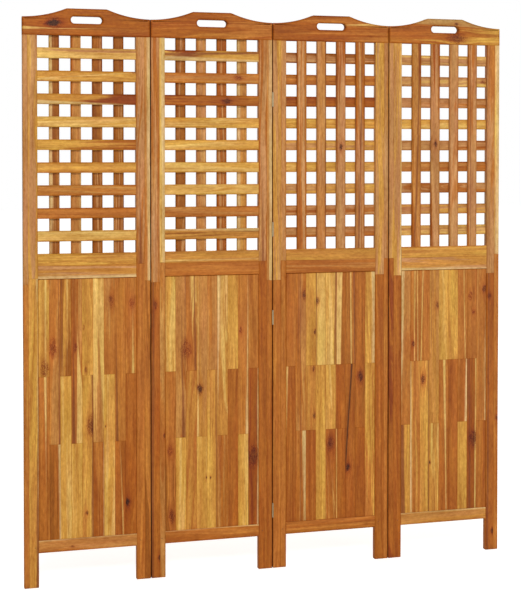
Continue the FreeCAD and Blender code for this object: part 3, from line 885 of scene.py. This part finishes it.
def acacia(name, roughness):
    """Oiled acacia from the attributes on the mesh. Its roughness is the given one - 0.06 + 0.25 pore + 0.12
    cloud + the marks of edges and of meeting faces, and its relief is fibre + 0.8 narrow - 1.2 pore."""
    material = bpy.data.materials.new(name)
    add = empty(material)
    grain, noise, bent = swaying(add)
    bent, knots = knotted(add, grain, noise, bent)
    noise |= ringed(add, bent)
    figure = add("Attribute", attribute_name="figure", out=1)
    share, sap_depth, met = add("SeparateXYZ", [figure]).node.outputs
    edge = add("Attribute", attribute_name="edge", out=2)
    pore = add("MapRange", [noise["pore"], .66, .74], **soft)
    colour = streaked(add, noise, share)
    colour = with_sap(add, noise, sap_depth, colour)
    colour = with_lines(add, noise, colour)
    colour = tinted(add, noise, knots, colour)
    colour = shaded(add, noise, pore, edge, met, colour)
    gloss = add("Math", [pore, .25, roughness - .06], operation="MULTIPLY_ADD")
    gloss = add("Math", [noise["cloud"], .12, gloss], operation="MULTIPLY_ADD")
    gloss = add("Math", [met, 1, gloss], operation="MULTIPLY_ADD", use_clamp=True)
    dull = add("Math", [edge], operation="ABSOLUTE")
    gloss = add("Math", [dull, gloss], operation="ADD", use_clamp=True)
    height = add("Math", [pore, -1.2, noise["fibre"]], operation="MULTIPLY_ADD")
    height = add("Math", [noise["narrow"], .8, height], operation="MULTIPLY_ADD")
    bump = add("Bump", {**relief, "Height": height})
    shader = add("BsdfPrincipled", {"Base Color": colour, "Roughness": gloss, "IOR": wood_ior,
                                    "Specular IOR Level": wood_specular, "Normal": bump})
    add("OutputMaterial", [shader])
    print(name, len(material.node_tree.nodes), "nodes")
    return material


frame_acacia = acacia("oiled acacia, planed frame stock", .46)
slat_acacia = acacia("oiled acacia, thin slats", .5)
board_acacia = acacia("oiled acacia, glued staves", .44)

# %% [markdown]
# Stiles: two strips each, and two lengths in each strip. Only the outer edges are eased; the glued ones
# keep the hairline that the eye reads as a joint. The faces that meet the next panel get near-black
# painted shade, so the eye reads the 3 mm between two panels as a black line.

# %% Stiles
# How strongly the stiles' eased edges are made matt and darkened with painted shade.
stile_edge_darkening = (.4, .4)
for index, left in enumerate(panel_left):
    for word, start, stile in zip(("left", "right"), (0, panel_width - stile_width), stile_looks[index]):
        split, left_joint, right_joint, *lengths = stile
        low_side, between, high_side = left + start, left + start + split, left + start + stile_width
        strips = []
        halves = ((low_side, between), left_joint), ((between, high_side), right_joint)
        for strip, (sides, joint) in enumerate(halves):
            edges = (seam, eased) if strip else (eased, seam)
            on_the_outside = (word, strip) in (("left", 0), ("right", 1))
            has_neighbour = index < last_panel if strip else index > 0
            meeting = (1 if strip else -1) if on_the_outside and has_neighbour else 0
            lower, upper = lengths[strip * 2:strip * 2 + 2]
            for height, foot, notes in (((0, joint), slat_eased, lower), ((joint, crown_base), seam, upper)):
                strips.append(board(sides, front_back, height, True, edges, (foot, seam), notes,
                                    meeting=meeting, edge_darkening=stile_edge_darkening))
        glue("panel_%d_%s_stile" % (index + 1, word), strips, frame_acacia)
print("stiles done, boards so far", board_number)

# %% [markdown]
# Middle and bottom rails butt against the stiles. The middle rail is glued from two strips, and the seam
# shows.

# %% Middle and bottom rails
butted = (seam, seam)
# For each strip of the middle rail: its heights, its edges, and how strongly painted shade darkens its eased
# edges, on the low side and on the high one.
middle_strips = (
    ((middle_base, middle_split), (eased, seam), (0, 0)),
    ((middle_split, middle_top), (seam, eased), (0, .5)),
)
# The bottom rail's lower eased edges take full painted shade, its upper ones none.
bottom_edge_darkening = (1, 0)
for index, left in enumerate(panel_left):
    span = (left + stile_width, left + panel_width - stile_width)
    strips = []
    for notes, (heights, edges, edge_darkening) in zip(middle_looks[index], middle_strips):
        strips.append(board(heights, front_back, span, False, edges, butted, notes, left, edge_darkening=edge_darkening))
    glue("panel_%d_middle_rail" % (index + 1), strips, frame_acacia)
    rail = board((rail_base, rail_top), front_back, span, False, (eased, eased), butted,
                 bottom_looks[index], left, edge_darkening=bottom_edge_darkening)
    glue("panel_%d_bottom_rail" % (index + 1), [rail], frame_acacia)
print("rails done, boards so far", board_number)

# %% [markdown]
# The staves stand behind the frame's edge in a groove. They are flush with each other, so only tone and a
# fine line part them; where they enter the groove the line is a dark joint deepened by painted shade.

# %% Staves of the lower board
stave_depth = (-stave_thickness / 2, stave_thickness / 2)
joint_heights = {"u": [upper_joint], "l": [lower_joint], "b": [upper_joint, lower_joint]}
for index, left in enumerate(panel_left):
    columns = stave_joints[index]
    edges = np.linspace(left + stile_width, left + panel_width - stile_width, len(columns) + 1)
    staves = []
    for column, letter in enumerate(columns):
        heights = [middle_base, *joint_heights[letter], rail_top]
        # The first stave's left edge and the top ends under the middle rail take the groove's mark: a dark
        # joint deepened by painted shade.
        sides = (groove if column == 0 else seam, seam)
        for notes, high, low in zip(stave_looks[index][column], heights, heights[1:]):
            stave_ends = (seam, groove if high == middle_base else seam)
            staves.append(board((edges[column], edges[column + 1]), stave_depth, (low, high), True,
                                sides, stave_ends, notes))
    glue("panel_%d_board_staves" % (index + 1), staves, board_acacia)
print("staves done, boards so far", board_number)

# %% [markdown]
# Lattice: two layers of flat slats that lie against each other. In the two left panels the level slats are
# in front, in the two right ones the upright slats.

# %% Lattice slats
slat_edges = (slat_eased, slat_eased)
front, behind = (-slat_thickness, 0), (0, slat_thickness)
for index, left in enumerate(panel_left):
    cross_depth, upright_depth = (front, behind) if cross_in_front[index] else (behind, front)
    span = (left + stile_width, left + panel_width - stile_width)
    slats = []
    for row, notes in enumerate(cross_looks[index][::-1]):
        base = middle_top + hole_height + row * (hole_height + cross_width)
        slats.append(board((base, base + cross_width), cross_depth, span, False,
                           slat_edges, butted, notes, left))
    glue("panel_%d_cross_slats" % (index + 1), slats, slat_acacia)
    slats = []
    for column, notes in enumerate(upright_looks[index]):
        from_centre = column - (len(upright_looks[index]) - 1) / 2
        middle = left + panel_width / 2 + from_centre * upright_pitch
        slats.append(board((middle - upright_width / 2, middle + upright_width / 2), upright_depth,
                           (middle_top, crown_base), True, slat_edges, butted, notes))
    glue("panel_%d_upright_slats" % (index + 1), slats, slat_acacia)
print("lattice done, boards so far", board_number)

# %% [markdown]
# The top rail is bandsawn to its hollow shoulders and has a handle slot, so it is no plain board. Seen from
# the middle of the slot, every direction meets the slot once and the outer edge once. That makes the rail a
# grid: one parameter turns round the slot, the other runs over the front, round the edge, over the back and
# home.

# %% Outlines of the top rail
slot_base, slot_half, slot_round = 37.7, 38.7, 11.3
crest_half, hollow = 62.0, 6.8
shoulder_points = 25
slot_centre = np.array([panel_width / 2, slot_base + slot_round])
end_height, crest_height = crown_end - crown_base, crown_crest - crown_base


def shoulder():
    """Points of the left hollow: a circular arc through its two ends and a point 6.8 mm under its chord's
    middle."""
    low, high = np.array([0, end_height]), np.array([panel_width / 2 - crest_half, crest_height])
    chord = high - low
    length = np.linalg.norm(chord)
    radius = length ** 2 / (8 * hollow) + hollow / 2
    through = (low + high) / 2 + np.array([0, -hollow])
    normal = np.array([-chord[1], chord[0]]) / length
    centre = through + normal * radius
    begin, end = (math.atan2(*(point - centre)[::-1]) for point in (low, high))
    turns = np.linspace(begin, end, shoulder_points)
    arc = centre + np.linalg.norm(low - centre) * np.stack([np.cos(turns), np.sin(turns)], -1)
    arc[0], arc[-1] = low, high
    return arc


left_arc = shoulder()
right_arc = (np.array([panel_width, 0]) + left_arc * [-1, 1])[::-1]
outer = np.concatenate([left_arc, right_arc, [[panel_width, 0], [0, 0]]])[::-1]
print("outer outline points", len(outer))

# %% [markdown]
# Both outlines are needed at the same directions: the corners and curve points of the outer one, and points
# spread evenly over the slot's round ends.

# %% The same directions on both outlines
tiny, slack = 1e-9, 1e-6
end_turns = np.radians(np.arange(-90, 91, 15))


def slot_at(turns):
    """Where rays from the slot's centre meet it: its straight sides at height r, else its round ends, where
    the distance is a |cos t| + sqrt(r^2 - a^2 sin^2 t)."""
    cosine, sine = np.cos(turns), np.sin(turns)
    flat = slot_round / np.maximum(np.abs(sine), tiny)
    bend = slot_half * np.abs(cosine) + np.sqrt(np.maximum(slot_round ** 2 - (slot_half * sine) ** 2, 0))
    reach = np.where(flat * np.abs(cosine) <= slot_half, flat, bend)
    return np.stack([cosine, sine], -1) * reach[:, None]


def outer_at(turns):
    """Where the same rays meet the outer outline, side by side: the ray crosses side (p, q) at distance (p
    x q) / (d x q - d x p)."""
    p = outer - slot_centre
    q = np.roll(p, -1, axis=0)
    d = np.stack([np.cos(turns), np.sin(turns)], -1)
    cross = p[:, 0] * q[:, 1] - p[:, 1] * q[:, 0]
    step = q - p
    divide = d[:, None, 0] * step[None, :, 1] - d[:, None, 1] * step[None, :, 0]
    divide = np.where(np.abs(divide) < tiny, tiny, divide)
    reach = cross[None] / divide
    hit = reach[..., None] * d[:, None] - p[None]
    along = (hit * step).sum(-1) / (step ** 2).sum(-1)
    good = (reach > 0) & (along > -slack) & (along < 1 + slack)
    best = np.where(good, reach, np.inf).min(1)
    return d * best[:, None]


end_points = np.stack([slot_half + slot_round * np.cos(end_turns), slot_round * np.sin(end_turns)], -1)
both = np.concatenate([end_points, -end_points, outer - slot_centre])
turns = np.unique(np.round(np.arctan2(both[:, 1], both[:, 0]), 6))
inner_line, outer_line = slot_at(turns), outer_at(turns)
print("directions", len(turns))

# %% [markdown]
# Edges are rounded by stepping inwards along the outline's own direction. The sawn top is rounded like the
# rest of the frame, while the ends and the underside stay crisp, because they meet the stiles.

# %% Rail surface
def facing(line):
    """Unit directions away from an outline's inside: the mean of its two neighbouring sides turned by a
    quarter."""
    ahead = np.roll(line, -1, axis=0) - line
    behind = line - np.roll(line, 1, axis=0)
    ahead /= np.linalg.norm(ahead, axis=1)[:, None]
    behind /= np.linalg.norm(behind, axis=1)[:, None]
    mean = ahead + behind
    mean /= np.linalg.norm(mean, axis=1)[:, None]
    return np.stack([mean[:, 1], -mean[:, 0]], -1)


def rounded(line, away, radius, turns):
    """Rows of a rounded edge: line - r (1 - sin t) away, at a depth of r (1 - cos t), marked as an eased
    edge, which takes painted shade.
    """
    return [(line - away * radius * (1 - math.sin(turn)), radius[:, 0] * (1 - math.cos(turn)), eased_edge_mark)
            for turn in turns]


def top_rail(left, notes):
    """The slotted rail as a grid that closes both ways: from the slot's edge over the front to the outer
    edge, and back home over the back."""
    out, away = facing(outer_line), -facing(inner_line)
    curved = outer_line[:, 1] + slot_centre[1] > end_height - skin
    round_out = np.where(curved, eased, seam)[:, None]
    round_in = np.full_like(round_out, eased)
    flats = [(inner_line - away * (eased + eased_edge_reach), 0, 0),
             (outer_line - out * (round_out + eased_edge_reach), 0, 0)]
    quarter = np.linspace(0, np.pi / 2, arc_steps + 1)
    rows = []
    for face, steps in ((-1, quarter), (1, quarter[::-1])):
        inner = rounded(inner_line, away, round_in, steps[::-1])
        rim = rounded(outer_line, out, round_out, steps)
        line = inner + flats + rim if face < 0 else rim + flats[::-1] + inner
        rows += [(plane, face * thickness / 2 - face * depth, mark) for plane, depth, mark in line]
    plane = np.stack([row[0] for row in rows])
    y = np.stack([np.broadcast_to(row[1], len(turns)) for row in rows])
    edge = np.stack([np.full(len(turns), float(row[2])) for row in rows])
    on_the_rim = np.abs(plane - outer_line).max(-1) < 1
    edge = np.where((edge > 0) & ~curved & on_the_rim, seam_mark, edge)
    local = plane + slot_centre
    x, z = local[..., 0] + left, local[..., 1] + crown_base
    points = np.stack([x, y, z], -1).reshape(-1, 3) / 1000
    half = crest_height / 2
    span = (half, left, left + panel_width)
    values = wood_values((local[..., 1] - half).ravel(), y.ravel(), x.ravel(), span, notes, left)
    values["edge"] = edge.ravel()
    return points, grid_faces(len(rows), len(turns), True).tolist(), values


for index, left in enumerate(panel_left):
    glue("panel_%d_top_rail" % (index + 1), [top_rail(left, crown_looks[index])], frame_acacia)
print("all boards", board_number)

# %% [markdown]
# Beech dowels lock the top rail to the stiles. They are hidden in their holes, but the wood still gets its
# fine brown flecks, about 1 by 3 mm, in case the joint is ever opened.

# %% Beech dowels
beech_tan, beech_fleck = linear("#D8B083"), linear("#A97443")
beech_waves = (900, 900, 300)


def beech(name):
    """Turned beech: an even pinkish tan with short darker flecks along the dowel."""
    material = bpy.data.materials.new(name)
    add = empty(material)
    place = add("VectorMath", [add("TexCoord", out=3), beech_waves], operation="MULTIPLY")
    fleck = add("TexNoise", {"Vector": place, "Scale": 1, "Detail": 1})
    fleck = add("MapRange", [fleck, .58, .66, 0, .6])
    colour = add("Mix", {0: fleck, 6: beech_tan, 7: beech_fleck}, **colours)
    gloss = add("Math", [fleck, -.1, .62], operation="MULTIPLY_ADD")
    shader = add("BsdfPrincipled", {"Base Color": colour, "Roughness": gloss, "IOR": wood_ior})
    add("OutputMaterial", [shader])
    return material


dowel_beech = beech("turned beech")
print(dowel_beech.name, len(dowel_beech.node_tree.nodes), "nodes")

# %% [markdown]
# Hinges, pins and screws are pressed or drawn steel with a thin zinc coat. Fresh zinc is bright grey with a
# faint mottle; handling leaves it duller in patches a few millimetres wide, and the press leaves fine
# lines. Between the stiles, less than 10 mm from the screen's middle plane, the steel gets dark painted
# shade and a duller finish.

# %% Zinc-plated steel
patch_waves, dulled = 260, .72
gap_shade_tone, gap_shade_ends, gap_shade_full = linear("#241B14"), .0104, .0096


def zinc_steel(name, tint, roughness, scratch):
    """Plated steel: metal whose gloss varies with a cloudy noise, with fine lines across the press
    direction."""
    material = bpy.data.materials.new(name)
    add = empty(material)
    place = add("TexCoord", out=3)
    patch = add("TexNoise", {"Vector": place, "Scale": patch_waves, "Detail": 3})
    lines = add("VectorMath", [place, scratch], operation="MULTIPLY")
    lines = add("TexNoise", {"Vector": lines, "Scale": 1, "Detail": 2})
    dull = (*(value * dulled for value in linear(tint)[:3]), 1)
    colour = add("Mix", {0: patch, 6: linear(tint), 7: dull}, **colours)
    # Painted shade on steel in the gap between the stiles, within 10 mm of the middle plane.
    depth = add("SeparateXYZ", [place], out=1)
    depth = add("Math", [depth], operation="ABSOLUTE")
    gap_shade = add("MapRange", [depth, gap_shade_ends, gap_shade_full, 0, .9])
    colour = add("Mix", {0: gap_shade, 6: colour, 7: gap_shade_tone}, **colours)
    gloss = add("MapRange", [patch, .3, .7, roughness - .08, roughness + .12])
    gloss = add("Math", [gap_shade, .25, gloss], operation="MULTIPLY_ADD")
    bump = add("Bump", {"Strength": .3, "Distance": .0001, "Height": lines})
    shader = add("BsdfPrincipled", {"Base Color": colour, "Metallic": 1, "Roughness": gloss, "Normal": bump})
    add("OutputMaterial", [shader])
    return material


finishes = {
    "dowel_wood": dowel_beech,
    "hinge_steel": zinc_steel("zinc-plated pressed steel", "#BBAB88", .42, (300, 4000, 300)),
    "pin_steel": zinc_steel("drawn steel wire", "#A8A49B", .32, (3000, 3000, 200)),
    "screw_steel": zinc_steel("zinc-plated screw steel", "#C4BFAF", .35, (300, 2500, 2500)),
}
for node in frame["nodes"]:
    finish = finishes.get(slot_of[node])
    if finish and not node.endswith("tenon_pins"):
        shown = bpy.data.objects[node]
        shown.data.materials.clear()
        shown.data.materials.append(finish)
print("steel and beech given to the carried-over nodes")

# %% [markdown]
# Two pins lock each bottom rail. On the face they show as small dark dots: oiled filler over a sunken head.
# A turned shape does it: a profile of radius against depth, carried once round the pin's axis.

# %% Pin heads
pin_steps = 16
pin_profile = [(.2, -10.14), (.8, -10.12), (1.25, -10.05), (1.4, -9.9), (1.1, -9.0), (1.1, 5.4), (.5, 5.6)]
filler_dark, filler_pale = linear("#2C1A12"), linear("#5A3824")


def turned(centre, profile, steps):
    """A closed turned solid about an axis along Y: point = centre + (r cos t, y, r sin t) for each (r,
    y)."""
    turn = np.arange(steps) * 2 * np.pi / steps
    radius, y = np.array(profile, float).T
    ring = np.stack([radius[:, None] * np.cos(turn), np.broadcast_to(y[:, None], (len(y), steps)),
                     radius[:, None] * np.sin(turn)], -1)
    points = (ring + np.array(centre)).reshape(-1, 3) / 1000
    return points, capped(len(y), steps), {"edge": np.zeros(len(points))}


def filler(name):
    """Dark oiled wood filler over steel: near black-brown, fine-grained, almost matt."""
    material = bpy.data.materials.new(name)
    add = empty(material)
    speck = add("TexNoise", {"Vector": add("TexCoord", out=3), "Scale": 2500, "Detail": 2})
    colour = add("Mix", {0: speck, 6: filler_dark, 7: filler_pale}, **colours)
    gloss = add("Math", [speck, .2, .5], operation="MULTIPLY_ADD")
    shader = add("BsdfPrincipled", {"Base Color": colour, "Roughness": gloss, "IOR": wood_ior})
    add("OutputMaterial", [shader])
    return material


dark_filler = filler("dark wood filler over a sunken pin")
for index, left in enumerate(panel_left):
    places = [(left + aside, 0, pin_height) for aside in (pin_aside, panel_width - pin_aside)]
    pins = [turned(place, pin_profile, pin_steps) for place in places]
    glue("panel_%d_tenon_pins" % (index + 1), pins, dark_filler)
print("pin heads done")

# %% [markdown]
# The studio: a pale floor, a white surround and soft light. The lamps are large, so shadows stay gentle,
# and their level makes a colour come out about as it is written. The floor glows a little to the camera
# alone, more so away from the screen, so it stays white as studio paper does while the feet keep a faint
# shadow.

# %% Floor
floor_reach, floor_below = 30.0, -0.0003
floor_oval, floor_near, floor_far = (.55, 1, 0), .3, 2.2
floor_glow_near, floor_glow_far = .57, .85
floor_signs = ((-1, -1), (1, -1), (1, 1), (-1, 1))
floor_corners = [(x * floor_reach, y * floor_reach, floor_below) for x, y in floor_signs]
floor_mesh = bpy.data.meshes.new("studio_floor")
floor_mesh.from_pydata(floor_corners, [], [(0, 1, 2, 3)])
floor = bpy.data.objects.new("studio_floor", floor_mesh)
bpy.context.scene.collection.objects.link(floor)
floor_paint = bpy.data.materials.new("white studio paper")
add = empty(floor_paint)
away = add("VectorMath", [add("TexCoord", out=3), floor_oval], operation="MULTIPLY")
away = add("VectorMath", [away], operation="LENGTH", out=1)
lift = add("MapRange", [away, floor_near, floor_far, floor_glow_near, floor_glow_far])
lift = add("Math", [add("LightPath"), lift], operation="MULTIPLY")
glow = add("Emission", {"Color": (1, 1, 1, 1), "Strength": lift})
matt = add("BsdfDiffuse", {"Color": (.86, .86, .85, 1)})
add("OutputMaterial", [add("AddShader", [matt, glow])])
floor_mesh.materials.append(floor_paint)
print("floor", 2 * floor_reach, "m wide")

# %% [markdown]
# The surround is white to the camera and in reflections, and dimmer as a light, so white never comes from
# flooding the wood. A large lamp from the front does the modelling, a small one fills its shadows, and one
# behind the screen lights the lattice's inner edges.

# %% Surround and lamps
surround_light, surround_white = .24, 1
lamps = {
    "key softbox": dict(place=(-2.6, -9.4, 7.0), target=(0, 0, 1.0), size=3.6, power=820),
    "fill softbox": dict(place=(3.0, -6.0, 1.3), target=(0, 0, 1.0), size=2.6, power=52),
    "rear softbox": dict(place=(1.5, 4.5, 3.2), target=(0, 0, .9), size=2.4, power=150),
}
world = bpy.data.worlds.new("studio surround")
bpy.context.scene.world = world
add = empty(world)
path = [add("LightPath", out=ray) for ray in ("Is Camera Ray", "Is Glossy Ray", "Is Transmission Ray")]
seen = functools.reduce(lambda first, then: add("Math", [first, then], operation="MAXIMUM"), path)
light = add("Background", {"Color": (1, .99, .97, 1), "Strength": surround_light})
white = add("Background", {"Color": (1, 1, 1, 1), "Strength": surround_white})
add("OutputWorld", [add("MixShader", [seen, light, white])])


def lamp(name, place, target, size, power):
    """A square soft lamp that looks at a target."""
    data = bpy.data.lights.new(name, "AREA")
    data.shape, data.size, data.energy = "SQUARE", size, power
    shine = bpy.data.objects.new(name, data)
    bpy.context.scene.collection.objects.link(shine)
    direction = np.array(target) - np.array(place)
    level = math.hypot(direction[0], direction[1])
    shine.location = place
    shine.rotation_euler = (math.atan2(level, -direction[2]), 0, math.atan2(-direction[0], direction[1]))
    return shine


for name, values in lamps.items():
    lamp(name, **values)
print(len(lamps), "lamps set")

# %% [markdown]
# The camera stands to the left of the middle at chest height and looks almost level, so upright edges stay
# upright. A slight downward tilt and a sliding of the lens frame the whole screen, as a view camera does in
# a studio.

# %% Camera
camera_place, camera_tilt, camera_turn = (-1.3967, -4.5258, 1.3477), 1.477, 16.711
sensor_width, lens_length, lens_slide = 36, 87.62, -.18
camera_data = bpy.data.cameras.new("studio camera")
camera_data.sensor_width = sensor_width
camera_data.lens = lens_length
camera_data.shift_y = lens_slide
camera = bpy.data.objects.new("studio camera", camera_data)
camera.location = camera_place
camera.rotation_euler = (math.radians(90 - camera_tilt), 0, math.radians(-camera_turn))
bpy.context.scene.collection.objects.link(camera)
bpy.context.scene.camera = camera
bpy.context.scene.view_settings.view_transform = "Standard"
print("camera at", camera_place, "lens", lens_length, "mm")
